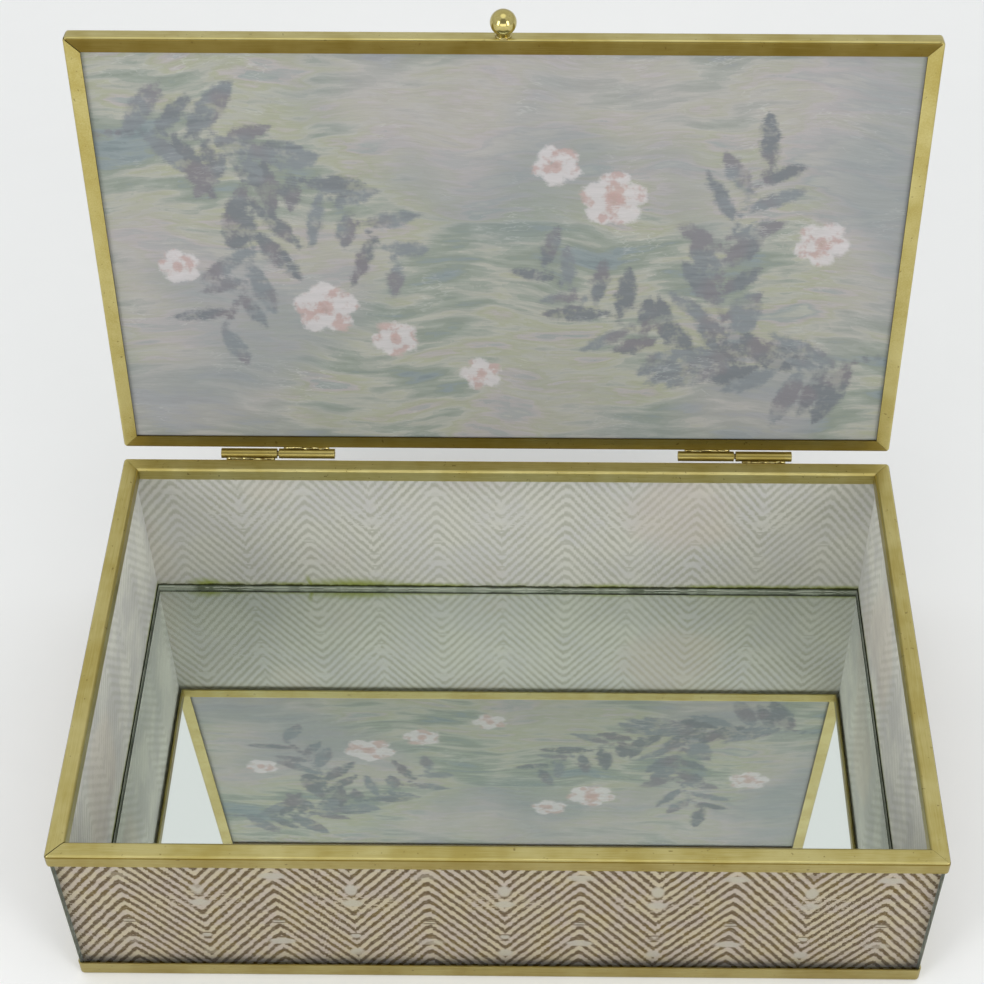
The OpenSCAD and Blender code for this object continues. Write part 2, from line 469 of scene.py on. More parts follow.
def lidRail(side, length, depth, low, high, reach):
    # channel with its web outwards, hollowed from the inside
    spec = railSpec
    piece, outer = railBlock("lid_" + side + "_rail", length, depth, low, high, reach)
    bendEdges(piece, outer, high, spec["bend"])
    bendEdges(piece, outer, low, spec["bend"])
    pickFaces(piece, lambda c, n: n.y > 0.9 and c.y > outer + reach - 1e-6)
    hollow(spec["brass"], (0, spec["brass"] - reach, 0))
    mitreEnds(piece, "lid", side, length, outer)
    return finishPiece(piece, spec["edgeRound"])


def baseStrip(side, length, depth, low, high, flange):
    # angle: hollowed from above and mitred, then its inner wall is cut off
    spec = railSpec
    deep = flange + 2 * spec["baseBrass"]
    piece, outer = railBlock("base_" + side + "_strip", length, depth, low, high, deep)
    bendEdges(piece, outer, low, spec["baseBend"])
    pickFaces(piece, lambda c, n: n.z > 0.9)
    hollow(spec["baseBrass"], (0, 0, low - high + spec["baseBrass"]))
    mitreEnds(piece, "base", side, length, outer)
    cutAway(piece, (0, outer + flange, 0), (0, 1, 0))
    return finishPiece(piece, spec["edgeRound"])


def rimTone(face):
    # 0 web and inside, 1 painted dark reflection along the bend, 2 painted highlight along the bend, 3 outer
    # leg in painted shade
    if face.normal.y > -0.2 or face.normal.z > 0.9:
        return 0
    if face.normal.z > 0.7:
        return 2
    return 1 if face.normal.z > 0.3 else 3


def makeFrames():
    spec = railSpec
    brass = {axis: brassMaterial("brassAlong" + axis, axis) for axis in "XY"}
    # painted shade: darker copies of the brass on the inner legs of the lid's front and rear rails
    paintedShadeUnderLid = {side: brassMaterial("brassPaintedShadeUnder_" + side, shade=share)
                for side, share in spec["paintedShadeUnderLid"].items()}
    # painted shade: darker brass on the inner lips of all lid rails
    paintedShadeLip = brassMaterial("brassPaintedShadeLip", shade=spec["paintedShadeLip"])
    # painted shade: darker brass on the upright outer faces of rim and base, standing for a dark reflection
    leg = {axis: brassMaterial("brassPaintedShadeLeg" + axis, axis, shade=spec["leg"]) for axis in "XY"}
    # painted light: the rear rim is a lighter copy of the brass
    paintedLightRearRim = brassMaterial("brassPaintedLightRearRim", rough=spec["rearRough"], shade=spec["rear"])
    # painted reflection: a dark line along the rim's outer bend
    bendDarkReflection = brassMaterial("brassPaintedBendReflection", shade=spec["bendDarkReflection"])
    # painted highlight: a bright line along the rim's outer bend
    bendHighlight = brassMaterial("brassPaintedBendHighlight", shade=spec["bendHighlight"])
    rimBox = boxOf(["rim_" + side for side in sides])
    stripBox = boxOf(["base_strip_" + side for side in sides])
    lidBox = boxOf(["lid_rail_" + side for side in sides], shutLid)
    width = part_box("rim_front")[1].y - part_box("rim_front")[0].y
    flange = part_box("base_strip_front")[1].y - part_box("base_strip_front")[0].y
    railLow, railHigh = boxOf(["lid_rail_front"], shutLid)
    reach = railHigh.y - railLow.y
    for side, turn in sides.items():
        spin = Matrix.Rotation(math.radians(turn), 4, "Z")
        axis = railAxis[side]

        def measures(box):
            size = box[1] - box[0]
            length, depth = (size.x, size.y) if axis == "X" else (size.y, size.x)
            return length, depth, box[0].z, box[1].z

        piece = rimRail(side, *measures(rimBox), width)
        main = paintedLightRearRim if side == "rear" else brass[axis]
        assign(piece, [main, bendDarkReflection, bendHighlight, leg[axis]], rimTone)
        turnMesh(piece, spin)
        put(piece, "box", "brass", "rim_" + side)

        piece = baseStrip(side, *measures(stripBox), flange)
        # the base strip is all in the same painted shade as the upright faces
        piece.data.materials.append(leg[axis])
        turnMesh(piece, spin)
        put(piece, "box", "brass", "base_strip_" + side)

        piece = lidRail(side, *measures(lidBox), reach)
        # lip faces take painted shade, and faces pointing down on the front and rear rails take the inner
        # legs' painted shade
        edge = reach - measures(lidBox)[1] / 2 - spec["lipDepth"]
        assign(piece, [brass[axis], paintedShadeUnderLid.get(side, brass[axis]), paintedShadeLip],
               lambda f: 2 if f.center.y > edge else 1 if f.normal.z < -0.85 else 0)
        turnMesh(piece, openLid @ spin)
        put(piece, "lid", "brass", "lid_rail_" + side)
    print("frames: rim, base and lid, 4 rails each")


# In the dictionaries below a noise is its scale, detail, roughness and stretch, and levels are the
# two values that it is eased between, then what it becomes there.

plainSpec = {       # each material's noise, levels, the colours between them, bump and surface
    "groundGlassEdge": {
        "grain": (420, 3, 0.7), "levels": (0.45, 0.7), "low": rgb(84, 92, 80), "high": rgb(136, 142, 130),
        "bump": (0.4, 0.1 * mm), "rough": 0.35},
    "silvering": {
        "grain": (9, 4, 0.6), "levels": (0.5, 0.8), "low": rgb(240, 243, 240), "high": rgb(222, 228, 224),
        "rough": 0.0, "others": {"metal": 1.0}},
    "brassSolder": {
        "grain": (900, 3, 0.6), "levels": (0.4, 0.7), "low": rgb(196, 184, 130), "high": rgb(122, 102, 52),
        "bump": (0.5, 0.2 * mm), "rough": 0.24, "others": {"metal": 1.0}},
    "hingeWire": {
        "grain": (3000, 2, 0.5, (0.05, 1, 1)), "low": rgb(150, 134, 84), "high": rgb(110, 96, 58),
        "rough": 0.35, "others": {"metal": 1.0}},
    "charcoalFelt": {
        "grain": (1500, 4, 0.7), "low": rgb(34, 34, 37), "high": rgb(66, 66, 70),
        "worn": ((90, 3, 0.6), (0.45, 0.7, 0.0, 0.35)), "wornColour": rgb(82, 80, 80),
        "bump": (0.7, 0.3 * mm), "rough": 0.95,
        "others": {"specular": 0.1, "sheen": 0.35, "sheenRough": 0.5}},
    "greyBoard": {
        "grain": (500, 4, 0.7), "low": rgb(112, 104, 92), "high": rgb(148, 140, 128), "rough": 0.9},
}


def plainMaterial(name):
    spec = plainSpec[name]
    material, place = newMaterial(name)
    grain = noise(place, *spec["grain"])
    share = eased(grain, *spec["levels"]) if "levels" in spec else grain
    colour = mix(share, spec["low"], spec["high"])
    if "worn" in spec:
        colour = mix(patches(place, *spec["worn"]), colour, spec["wornColour"])
    others = dict(spec.get("others", {}))
    if "bump" in spec:
        others["normal"] = relief(grain, *spec["bump"])
    return coat(material, colour, spec["rough"], **others)


chevronSpec = {                                     # lengths in millimetres
    "period": 45.3, "slope": 1.45, "pitch": 4.88, "duty": 0.47, "thread": 0.4, "jitter": 0.6,
    "turnRound": 0.7,
    "lowTurn": {"front": 1.7, "rear": 1.6, "left": -23.0, "right": 24.5},
    "phase": {"front": 0.572, "rear": 0.557, "left": 0.396, "right": 0.394},
    "lift": {"front": 1.5, "rear": 0.0, "left": 0.0, "right": 0.0},
    # height, half width and half height of the bare places and short dashes in each kind of turn
    "lowBare": [(47, 2.0, 3.2), (39.5, 3.2, 1.9), (20.5, 1.6, 1.2), (11, 2.3, 2.1)],
    "lowDash": [(43.2, 1.7, 0.42), (34.8, 1.9, 0.4), (33.0, 1.1, 0.55), (21.8, 1.9, 0.36), (18.6, 1.4, 0.6),
                (15.2, 1.3, 0.45)],
    "highBare": [(17, 4.3, 1.7), (54.5, 4.2, 1.7), (28.6, 1.9, 1.3)],
    "highDash": [(19.6, 1.8, 0.55), (29.5, 1.8, 0.36), (28.0, 2.3, 0.36)],
    "wedge": (55.8, 2.3, 2.6), "frayed": (41, 13, 5.5), "fraying": (0.6, 0.16), "dashInk": 0.85,
    "spotCore": 0.72, "spotRim": 1.2,
    "grain": (0.6, 2, 0.6, (0.55, 1, 1.3)), "sway": 1.1, "swayUp": 0.7, "swayFlat": 0.4,
    "swell": (0.45, 2, 0.6, (1, 1, 1.4)), "swelling": 0.24,
    "crumbs": ((0.7, 2, 0.6, (0.7, 1, 1.6)), (0.52, 0.6)),
    "plain": ((0.045, 1, 0.5), (0.36, 0.5, 0.35, 1.0)),
    "blots": ((0.02, 1, 0.5, (1, 1, 0)), (0.46, 0.56)),
}


def spot(plane, level, wide, tall, core=chevronSpec["spotCore"]):
    # soft-edged oval at a height of the plane, from 0 outside to 1 inside
    moved = mapped(plane, Scale=(1 / wide, 1 / tall, 1), Location=(0, -level / tall, 0))
    reach = add("ShaderNodeVectorMath", {0: moved}, operation="LENGTH").outputs["Value"]
    return eased(reach, core, chevronSpec["spotRim"], 1.0, 0.0)


def anySpot(plane, spots):
    found = spot(plane, *spots[0])
    for one in spots[1:]:
        found = most(found, spot(plane, *one))
    return found


def chevronInk(place, side, soft, clear):
    # share of ink at a point: zigzag stripes made of short threads
    spec = chevronSpec
    local = mapped(place, Rotation=(0, 0, -math.radians(sides[side])), Scale=(1 / mm,) * 3)
    split = add("ShaderNodeSeparateXYZ", {"Vector": local})
    up = split.outputs["Z"]
    column = calc("SNAP", minus(split.outputs["X"], spec["lowTurn"][side]), spec["thread"])
    chance = add("ShaderNodeTexWhiteNoise", {"W": column}, noise_dimensions="1D").outputs["Value"]
    sway = times(minus(noise(local, *spec["grain"]), 0.5), spec["sway"])
    shift = timesPlus(minus(chance, 0.5), spec["jitter"], sway)
    half = spec["period"] / 2
    away = calc("PINGPONG", column, half)           # 0 in a low turn, half the period in a high one
    toHigh = minus(half, away)
    bulge = calc("SQRT", timesPlus(toHigh, toHigh, spec["turnRound"] ** 2))
    rise = times(minus(half, bulge), spec["slope"])
    level = calc("DIVIDE", minus(plus(up, shift), rise), spec["pitch"])
    level = calc("FRACT", plus(level, 0.5 - spec["phase"][side]))
    fromMiddle = calc("ABSOLUTE", minus(level, 0.5))
    swelling = spec["swelling"]
    wide = timesPlus(noise(local, *spec["swell"]), swelling, (spec["duty"] - swelling) / 2)
    stripe = eased(minus(fromMiddle, wide), -soft, soft, 1.0, 0.0)
    height = plus(up, spec["lift"][side])
    ragged = timesPlus(sway, spec["swayUp"], height)
    lowPlane, highPlane = [flatPoint(plus(x, sway), ragged) for x in (away, toHigh)]
    lowFlat, highFlat = [flatPoint(timesPlus(sway, spec["swayFlat"], x), height) for x in (away, toHigh)]
    frayed = times(patches(local, *spec["crumbs"]),
                   timesPlus(spot(lowPlane, *spec["frayed"]), *spec["fraying"]))
    bare = most(anySpot(lowPlane, spec["lowBare"]), anySpot(highPlane, spec["highBare"]))
    bare = times(bare, times(patches(local, *spec["plain"]), clear))
    stripe = times(stripe, minus(1.0, most(bare, frayed)))
    dash = most(anySpot(lowFlat, spec["lowDash"]), anySpot(highFlat, spec["highDash"]))
    wedge = times(spot(lowPlane, *spec["wedge"]), patches(local, *spec["blots"]))
    ink = most(most(stripe, times(dash, spec["dashInk"])), wedge)
    return ink, local, up, bare


faceSpec = {
    "soft": 0.06, "clear": 1.0,
    "clouds": ((0.12, 3, 0.6), (0.38, 0.62)), "ground": rgb(179, 165, 140), "groundCool": rgb(173, 159, 147),
    "bare": rgb(166, 161, 150), "bareShare": 0.6,
    "dyes": ((0.11, 3, 0.7), (0.48, 0.62)), "ink": rgb(82, 61, 25), "inkWarm": rgb(92, 70, 8),
    "strength": ((1.2, 2, 0.6), (0.25, 0.5, 0.8, 1.0)),
    "foot": rgb(38, 27, 8), "footNoise": (0.16, 2), "footRagged": 1.6, "footLevels": (1.5, 2.1, 0.92, 0.0),
    "fibre": (3.0, 3, 0.7), "bump": 0.1, "bumpDepth": 0.1 * mm, "rough": 0.8, "specular": 0.2,
}


def faceSheetMaterial(side):
    # the printed face behind the glass
    spec = faceSpec
    material, place = newMaterial("chevronFace_" + side)
    ink, local, up, bare = chevronInk(place, side, spec["soft"], spec["clear"])
    ground = mix(patches(local, *spec["clouds"]), spec["ground"], spec["groundCool"])
    ground = mix(times(bare, spec["bareShare"]), ground, spec["bare"])
    dye = mix(patches(local, *spec["dyes"]), spec["ink"], spec["inkWarm"])
    strength = patches(local, *spec["strength"])
    colour = mix(times(ink, strength), ground, dye)
    ragged = timesPlus(noise(local, *spec["footNoise"]), spec["footRagged"], up)
    colour = mix(eased(ragged, *spec["footLevels"]), colour, spec["foot"])
    bump = relief(noise(local, *spec["fibre"]), spec["bump"], spec["bumpDepth"])
    return coat(material, colour, spec["rough"], specular=spec["specular"], normal=bump)


backSpec = {                                        # heights in millimetres, the foot's from the mirror up
    "soft": 0.14, "clear": 0.7,
    "clouds": ((0.05, 3, 0.6), (0.35, 0.65)), "ground": rgb(212, 211, 202), "groundCool": rgb(206, 205, 202),
    "ink": rgb(180, 180, 166), "strength": (0.06, 2, 0.5), "strengthLevels": (0.3, 0.7), "weakest": 0.7,
    "pinks": ((0.022, 2, 0.5), (0.56, 0.72, 0.0, 0.3)), "pink": rgb(208, 192, 178),
    "sideGround": rgb(227, 226, 218), "sideFaint": 0.42,
    "paintedShadeNearRim": (22, 60, 0.0, 0.15),                  # painted shade: the rear sheet is darker towards the rim
    "ragged": (0.3, 3, 0.7), "raggedBy": 2.0,
    "tint": rgb(142, 154, 26), "tintHeights": (0.8, 3.6),
    "tintReach": ((0.035, 2, 0.6, (1, 1, 0)), (0.35, 0.6, 0.25, 0.85)),
    # middle, half width and half height of the stains that climb the rear sheet
    "stains": {"rear": [(69.5, 1.5, 6.4), (53, 24, 4.6), (107, 9, 4.0)]},
    "stainHeight": 1.0, "stainLean": -0.25, "stainCore": 0.1, "stainShare": 0.85,
    "foot": rgb(62, 66, 40), "footHeights": (0.9, 1.6), "footShare": 0.9,
    "fibre": (2.2, 3, 0.7), "bump": 0.12, "bumpDepth": 0.1 * mm, "rough": 0.88, "specular": 0.15,
}


def backSheetMaterial(side):
    # the inside of the sheet: the print shows through faintly, its foot is stained, and it is darker along
    # the very bottom
    spec = backSpec
    material, place = newMaterial("chevronBack_" + side)
    ink, local, up, bare = chevronInk(place, side, spec["soft"], spec["clear"])
    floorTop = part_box("mirror_floor")[1].z / mm
    short = side in ("left", "right")
    main = spec["sideGround" if short else "ground"]
    ground = mix(patches(local, *spec["clouds"]), main, spec["groundCool"])
    faint = spec["sideFaint"] if short else 1.0
    levels = (*spec["strengthLevels"], spec["weakest"] * faint, faint)
    strength = patches(local, spec["strength"], levels)
    colour = mix(times(ink, strength), ground, spec["ink"])
    colour = mix(patches(local, *spec["pinks"]), colour, spec["pink"])
    if side == "rear":
        # painted shade: the rear sheet darkened towards the rim
        colour = mix(eased(up, *spec["paintedShadeNearRim"]), colour, rgb(0, 0, 0))
    ragged = timesPlus(noise(local, *spec["ragged"]), spec["raggedBy"], up)
    low, high = spec["tintHeights"]
    tint = times(eased(ragged, floorTop + low, floorTop + high, 1.0, 0.0),
                 patches(local, *spec["tintReach"]))
    for middle, wide, tall in spec["stains"].get(side, []):
        across = add("ShaderNodeSeparateXYZ", {"Vector": local}).outputs["X"]
        lean = timesPlus(ragged, spec["stainLean"], minus(across, middle))
        stain = spot(flatPoint(lean, ragged), floorTop + spec["stainHeight"], wide, tall, spec["stainCore"])
        tint = most(tint, times(stain, spec["stainShare"]))
    colour = mix(tint, colour, spec["tint"])
    low, high = spec["footHeights"]
    foot = eased(ragged, floorTop + low, floorTop + high, spec["footShare"], 0.0)
    colour = mix(foot, colour, spec["foot"])
    bump = relief(noise(local, *spec["fibre"]), spec["bump"], spec["bumpDepth"])
    return coat(material, colour, spec["rough"], specular=spec["specular"], normal=bump)


glassSpec = {
    "headOn": 0.04,                                 # share reflected when seen straight on, from both sides
    "tiltPower": 5.0, "tint": (0.975, 0.99, 0.98, 1.0), "wallGloss": 0.55,
    "smears": ((14, 3, 0.6), (0.4, 0.75, 0.01, 0.06)),
    "bondGap": 0.02 * mm, "bondNoise": (40, 2), "bondDark": (0.985, 0.99, 0.985, 1),
    "arris": 0.25 * mm,
}


def paneMaterial(name, tint, gloss=1.0):
    spec = glassSpec
    material, place = newMaterial(name)
    rough = patches(place, *spec["smears"])
    shine = add("ShaderNodeBsdfGlossy", {"Color": (gloss, gloss, gloss, 1), "Roughness": rough})
    clear = add("ShaderNodeBsdfTransparent", {"Color": tint})
    tilt = add("ShaderNodeLayerWeight", {"Blend": 0.5}).outputs["Facing"]
    steep = calc("POWER", tilt, spec["tiltPower"])
    amount = timesPlus(steep, 1 - spec["headOn"], spec["headOn"])
    return dress(material, add("ShaderNodeMixShader", {"Fac": amount, 1: clear.outputs[0],
                                                       2: shine.outputs[0]}))


def bondMaterial():
    material, place = newMaterial("bondedFace")
    faint = noise(place, *glassSpec["bondNoise"])
    colour = mix(faint, glassSpec["bondDark"], (1, 1, 1, 1))
    return dress(material, add("ShaderNodeBsdfTransparent", {"Color": colour}))


mirrorSpec = {
    "apparentDepth": 1.9 * mm, "tint": (0.962, 0.978, 0.966, 1.0),
    "inset": 0.3 * mm, "silverThick": 0.2 * mm,
    # the plate's edge, its heights as shares of the apparent depth from the top down
    "ragged": (160, 3, 0.65, (1, 1, 0)), "raggedMiddle": 0.55, "raggedBy": 1.1,
    "patches": ((60, 3, 0.6), (0.4, 0.62)), "middlePale": rgb(162, 168, 150), "middleDark": rgb(100, 108, 84),
    "topLine": rgb(46, 52, 34), "topLevels": (0.12, 0.3),
    # a painted glint: a broken pale line across the plate's edge, at this share of the depth
    "streakAt": 0.72, "streakLevels": (0.05, 0.16, 1.0, 0.0), "paintedGlintColour": rgb(226, 228, 214),
    "streakBreaks": ((95, 3, 0.6, (1, 1, 0)), (0.4, 0.48)), "edgeRough": 0.4,
}


def mirrorEdgeMaterial(top):
    # the plate's edge seen from within: dark along the top, then grey-green, with a painted glint: a broken
    # pale line
    spec = mirrorSpec
    material, place = newMaterial("mirrorPlateEdge")
    up = add("ShaderNodeSeparateXYZ", {"Vector": place}).outputs["Z"]
    depth = calc("DIVIDE", minus(top, up), spec["apparentDepth"])
    ragged = minus(noise(place, *spec["ragged"]), spec["raggedMiddle"])
    depth = timesPlus(ragged, spec["raggedBy"], depth)
    middle = mix(patches(place, *spec["patches"]), spec["middlePale"], spec["middleDark"])
    colour = mix(eased(depth, *spec["topLevels"]), spec["topLine"], middle)
    # painted glint along the edge
    off = calc("ABSOLUTE", minus(depth, spec["streakAt"]))
    glint = times(eased(off, *spec["streakLevels"]), patches(place, *spec["streakBreaks"]))
    return coat(material, mix(glint, colour, spec["paintedGlintColour"]), spec["edgeRough"])


def pane(name, low, high, outward, glass, bond, edge):
    # a glass plate: its ground edges are bevelled, and the face that is glued loses its shine
    piece = block(name, low, high)
    editing(piece)
    size = Vector(high) - Vector(low)
    thin = min(range(3), key=lambda i: size[i])
    pickEdges(piece, lambda a, b: same(a[thin], b[thin]))
    bpy.ops.mesh.bevel(offset=glassSpec["arris"], segments=2, affect="EDGES")
    finishPiece(piece, 0)
    outward = Vector(outward)

    def part(face):
        facing = face.normal.dot(outward)
        return 0 if facing > 0.99 else 1 if facing < -0.99 else 2

    assign(piece, [glass, bond, edge], part)
    return piece


def paperBlock(name, low, high):
    sheet = block(name, low, high)
    editing(sheet)
    return finishPiece(sheet, 0.05 * mm)


def makeWalls():
    glass = paneMaterial("wallGlass", glassSpec["tint"], glassSpec["wallGloss"])
    bond = bondMaterial()
    edge = plainMaterial("groundGlassEdge")
    gap = Vector((0, glassSpec["bondGap"], 0))
    for side, turn in sides.items():
        spin = Matrix.Rotation(math.radians(turn), 4, "Z")
        low, high = boxOf(["wall_glass_" + side], spin.inverted())      # as seen from its own side
        piece = pane("wall_" + side + "_glass", low, high - gap, (0, -1, 0), glass, bond, edge)
        turnMesh(piece, spin)
        put(piece, "box", "wall_glass", "wall_glass_" + side)
        low, high = boxOf(["wall_print_" + side], spin.inverted())
        sheet = paperBlock("wall_" + side + "_sheet", low, high)
        assign(sheet, [faceSheetMaterial(side), backSheetMaterial(side)],
               lambda f: 0 if f.normal.y < -0.9 else 1)
        turnMesh(sheet, spin)
        put(sheet, "box", "chevron_paper", "wall_print_" + side)
    print("walls: 4 panes and 4 printed sheets")


def makeMirror():
    spec = mirrorSpec
    low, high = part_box("mirror_floor")
    glass = paneMaterial("mirrorGlass", spec["tint"])
    plate = pane("mirror_plate", low, high, (0, 0, 1), glass, bondMaterial(), mirrorEdgeMaterial(high.z))
    put(plate, "box", "mirror", "mirror_floor")
    inset = Vector((spec["inset"], spec["inset"], 0))
    level = high.z - spec["apparentDepth"]
    low.z, high.z = level - spec["silverThick"], level
    silver = paperBlock("mirror_silver", low + inset, high - inset)
    silver.data.materials.append(plainMaterial("silvering"))
    put(silver, "box", "mirror")
    print("floor: mirror plate and silver")


lidPrintSpec = {
    "cell": 1.0 * mm, "seed": 7, "pathSteps": 60,
    "boughs": [     # start, middle and end of each from above the shut lid, in millimetres, and leaf count
        ((122, 38), (70, 58), (12, 4), 26),
        ((78, 46), (58, 6), (82, -34), 15),
        ((-124, -44), (-72, -52), (-34, 2), 20),
        ((-92, -50), (-66, -14), (-92, 28), 13),
    ],
    "firstLeaf": 0.08, "lean": (0.5, 1.15), "taper": 0.8, "far": 9.0,
    "leafLength": (15, 27), "lengthAlong": (1.1, 0.35), "leafWidth": (5.0, 8.5), "widthAlong": (1.1, 0.3),
    "stem": 1.1,
    "blooms": [((34, -22), 11), ((16, -34), 8), ((-58, 20), 11), ((-36, 32), 8), ((100, -6), 9),
               ((-104, 4), 7), ((-8, 46), 7)],
    "petals": 5, "petalAt": 0.52, "petalSize": 0.46, "petalSquash": (1, 1.15), "heartSize": 0.25,
}


def leafShapes():
    # every leaf as centre, half length, half width, lean and tone, set in pairs along the boughs
    spec = lidPrintSpec
    rng = np.random.default_rng(spec["seed"])
    leaves, stems = [], []
    for start, middle, end, count in spec["boughs"]:
        start, middle, end = (np.array(point, float) for point in (start, middle, end))

        def pointAt(t):
            return (1 - t) ** 2 * start + 2 * t * (1 - t) * middle + t * t * end

        stems.append(np.array([pointAt(t) for t in np.linspace(0, 1, spec["pathSteps"])]))
        for i in range(count):
            t = spec["firstLeaf"] + (1 - spec["firstLeaf"]) * i / (count - 1)
            ahead = 2 * (1 - t) * (middle - start) + 2 * t * (end - middle)
            lean = math.atan2(ahead[1], ahead[0]) + (1 if i % 2 else -1) * rng.uniform(*spec["lean"])
            full, less = spec["lengthAlong"]
            length = rng.uniform(*spec["leafLength"]) * (full - less * t)
            full, less = spec["widthAlong"]
            width = rng.uniform(*spec["leafWidth"]) * (full - less * t)
            centre = pointAt(t) + np.array([math.cos(lean), math.sin(lean)]) * length * 0.5
            leaves.append((centre, length / 2, width / 2, lean, rng.uniform(0, 1)))
    return leaves, stems


def motifFields(points):
    # distance in millimetres to the nearest leaf and petal, negative inside, with each leaf's own tone
    spec = lidPrintSpec
    leaves, stems = leafShapes()
    leaf, petal, heart = (np.full(len(points), spec["far"]) for field in range(3))
    tone = np.full(len(points), 0.5)
    for centre, long, wide, lean, own in leaves:
        offset = points - centre
        along = offset @ np.array([math.cos(lean), math.sin(lean)])
        across = offset @ np.array([-math.sin(lean), math.cos(lean)])
        taper = np.clip(1 - (along / long) ** 2, 0.02, 1)
        reach = np.abs(across) - wide * taper ** spec["taper"]
        reach = np.maximum(reach, np.abs(along) - long)
        closer = reach < leaf
        leaf = np.where(closer, reach, leaf)
        tone = np.where(closer, own, tone)
    for path in stems:
        gaps = np.min(np.linalg.norm(points[:, None, :] - path[None, ::2, :], axis=2), axis=1)
        leaf = np.minimum(leaf, gaps - spec["stem"])
    for centre, radius in spec["blooms"]:
        centre = np.array(centre, float)
        for k in range(spec["petals"]):
            angle = 2 * math.pi * k / spec["petals"] + radius
            middle = centre + np.array([math.cos(angle), math.sin(angle)]) * radius * spec["petalAt"]
            gaps = np.linalg.norm((points - middle) * spec["petalSquash"], axis=1)
            petal = np.minimum(petal, gaps - radius * spec["petalSize"])
        heart = np.minimum(heart, np.linalg.norm(points - centre, axis=1) - radius * spec["heartSize"])
    return leaf, tone, petal, heart


def paintedSheet(name, low, high, level):
    # one face of the printed sheet, with the motif's distances on its points
    size = high - low
    cell = lidPrintSpec["cell"]
    piece = fresh(bpy.ops.mesh.primitive_grid_add, name, size=1, x_subdivisions=round(size.x / cell),
                  y_subdivisions=round(size.y / cell),
                  location=((low.x + high.x) / 2, (low.y + high.y) / 2, level))
    piece.scale = (size.x, size.y, 1)
    applyPlace()
    points = np.array([v.co[:2] for v in piece.data.vertices]) / mm
    for label, values in zip(("leaf", "tone", "petal", "heart"), motifFields(points)):
        layer = piece.data.attributes.new(label, "FLOAT", "POINT")
        layer.data.foreach_set("value", values.astype(np.float32))
    place = piece.data.attributes.new("onSheet", "FLOAT_VECTOR", "POINT")   # millimetres across the shut lid
    flat = np.column_stack([points, np.zeros(len(points))]).astype(np.float32)
    place.data.foreach_set("vector", flat.ravel())
    return piece


paintSpec = {
    "coats": [rgb(88, 108, 112), rgb(112, 127, 130), rgb(112, 124, 108), rgb(130, 139, 126),
              rgb(158, 158, 146), rgb(146, 149, 120), rgb(160, 153, 150), rgb(126, 136, 133),
              rgb(152, 154, 142)],
    "drift": 0.013, "driftBy": (18, 26, 0), "ends": (0.8, 2, 0.6), "endShare": 0.05,
    "broad": (0.019, 3, 0.5, (0.6, 1, 1)), "strokes": (0.13, 2, 0.55, (0.24, 1, 1)),
    "laid": 0.075, "looseShare": 0.45, "laidShare": 0.55, "fine": (0.5, 3, 0.6, (0.14, 1, 1)),
    "strokePick": 0.65, "finePick": 0.22, "pickFrom": 0.26, "pickSpan": 0.46,
    "dusty": ((0.011, 2, 0.5), (0.46, 0.62, 0.0, 0.55)), "dust": rgb(164, 156, 158),
    "shady": ((0.016, 2, 0.5, (0.7, 1, 1)), (0.5, 0.68, 0.0, 0.5)), "shade": rgb(98, 116, 120),
    "bristle": (2.6, 3, 0.65, (0.07, 1, 1)), "bristleBy": 2.6,
    "ragged": (0.3, 3, 0.65), "raggedBy": 4.4, "raggedMiddle": 3.5,
    "leafLevels": (-1.0, 1.0, 1.0, 0.0), "toneBy": 1.6, "toneLevels": (0.2, 0.8),
    "leafDark": rgb(66, 76, 88), "leafLight": rgb(96, 106, 114),
    "leafWarms": ((0.05, 2, 0.5), (0.48, 0.62, 0.0, 0.7)), "leafWarm": rgb(92, 80, 92),
    "leafCover": ((0.14, 3, 0.7), (0.34, 0.52, 0.4, 0.92)),
    "petalLevels": (-0.9, 0.9, 1.0, 0.0), "petalShare": 0.88, "petal": rgb(198, 192, 193),
    "blushes": ((0.16, 3, 0.6), (0.48, 0.62, 0.0, 0.8)), "blush": rgb(174, 136, 128),
    "heartLevels": (-0.7, 0.7, 0.7, 0.0), "valueLevels": (0.3, 0.7, 0.9, 1.1),
    # raised paint: thin pale ridges in patches
    "thick": (0.34, 3, 0.6, (0.2, 1, 1)), "ridgeLevels": (0.006, 0.022, 1.0, 0.0),
    "ridgePatches": ((0.035, 3, 0.6), (0.5, 0.66, 0.0, 0.2)),
    "ridge": rgb(214, 214, 210), "ridgeHeight": 0.25,
    "haze": rgb(153, 154, 153), "bump": 0.25, "bumpDepth": 0.15 * mm, "specular": 0.25,
    # name, share of haze, roughness and whether it faces down
    "faces": (("lid_sheet_face", 0.04, 0.6, False), ("lid_sheet_back", 0.34, 0.85, True)),
    "thickShare": 0.45,
}


def sheetValue(label, output="Fac"):
    return add("ShaderNodeAttribute", attribute_name=label).outputs[output]


